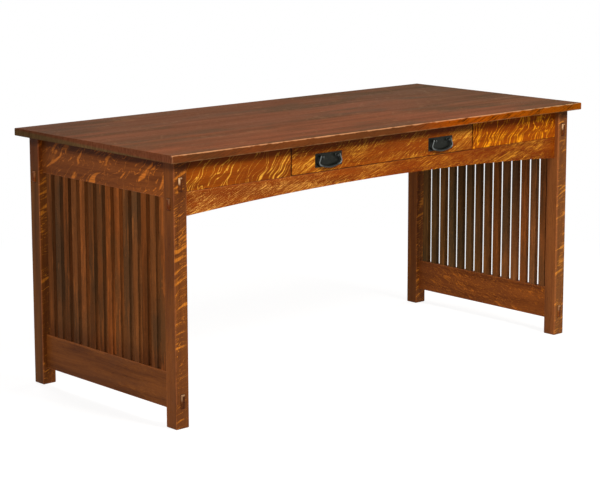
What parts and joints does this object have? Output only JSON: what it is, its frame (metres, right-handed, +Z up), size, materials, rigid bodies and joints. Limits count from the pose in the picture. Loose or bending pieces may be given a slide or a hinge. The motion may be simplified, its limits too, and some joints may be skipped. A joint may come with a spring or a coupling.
{
  "type": "desk",
  "caption": "Long writing desk in quartered oak with slatted ends, an arched front and back, proud through tenons and a wide dovetailed drawer with bail pulls.",
  "frame": {"origin": "middle of the footprint, at the level of the feet", "axes": "+X to the user's right along the length, +Y towards the back, so the drawer faces -Y, +Z up"},
  "size_m": [1.6764, 0.7366, 0.762],
  "materials": {
    "oak_top": "satin",
    "oak_frame": "satin",
    "oak_front": "satin",
    "oak_slats": "satin",
    "drawer_wood": "matte",
    "dark_metal": "satin",
    "steel": "satin"
  },
  "bodies": {
    "frame": {"tabletop": "oak_top", "leg_front_left": "oak_frame", "leg_front_right": "oak_frame", "leg_back_left": "oak_frame", "leg_back_right": "oak_frame", "side_rail_upper_left": "oak_frame", "side_rail_upper_right": "oak_frame", "side_rail_lower_left": "oak_frame", "side_rail_lower_right": "oak_frame", "front_rail": "oak_front", "back_apron": "oak_frame", "front_panel_left": "oak_front", "front_panel_right": "oak_front", "slat_left_01": "oak_slats", "slat_left_02": "oak_slats", "slat_left_03": "oak_slats", "slat_left_04": "oak_slats", "slat_left_05": "oak_slats", "slat_left_06": "oak_slats", "slat_left_07": "oak_slats", "slat_left_08": "oak_slats", "slat_left_09": "oak_slats", "slat_left_10": "oak_slats", "slat_left_11": "oak_slats", "slat_left_12": "oak_slats", "slat_left_13": "oak_slats", "slat_left_14": "oak_slats", "slat_right_01": "oak_slats", "slat_right_02": "oak_slats", "slat_right_03": "oak_slats", "slat_right_04": "oak_slats", "slat_right_05": "oak_slats", "slat_right_06": "oak_slats", "slat_right_07": "oak_slats", "slat_right_08": "oak_slats", "slat_right_09": "oak_slats", "slat_right_10": "oak_slats", "slat_right_11": "oak_slats", "slat_right_12": "oak_slats", "slat_right_13": "oak_slats", "slat_right_14": "oak_slats", "drawer_runner_left": "drawer_wood", "drawer_runner_right": "drawer_wood", "drawer_kicker_left": "drawer_wood", "drawer_kicker_right": "drawer_wood", "drawer_stop_cleat": "drawer_wood", "top_buttons": "drawer_wood", "top_screws": "steel"},
    "drawer": {"drawer_front": "oak_front", "drawer_side_left": "drawer_wood", "drawer_side_right": "drawer_wood", "drawer_back": "drawer_wood", "drawer_bottom": "drawer_wood", "drawer_stop_block": "drawer_wood", "pull_plate_left": "dark_metal", "pull_plate_right": "dark_metal", "pull_posts": "dark_metal", "pull_nuts": "steel"},
    "bail_left": {"pull_bail_left": "dark_metal"},
    "bail_right": {"pull_bail_right": "dark_metal"}
  },
  "joints": [
    {"name": "drawer_slide", "type": "slide", "parent": "frame", "child": "drawer", "axis": [0, -1, 0], "range_m": [0, 0.38]},
    {"name": "bail_swing_left", "type": "hinge", "parent": "drawer", "child": "bail_left", "pos_m": [-0.23184, -0.33076, 0.69477], "axis": [-1, 0, 0], "range_deg": [-5, 180]},
    {"name": "bail_swing_right", "type": "hinge", "parent": "drawer", "child": "bail_right", "pos_m": [0.23184, -0.33076, 0.69477], "axis": [-1, 0, 0], "range_deg": [-5, 180]}
  ]
}
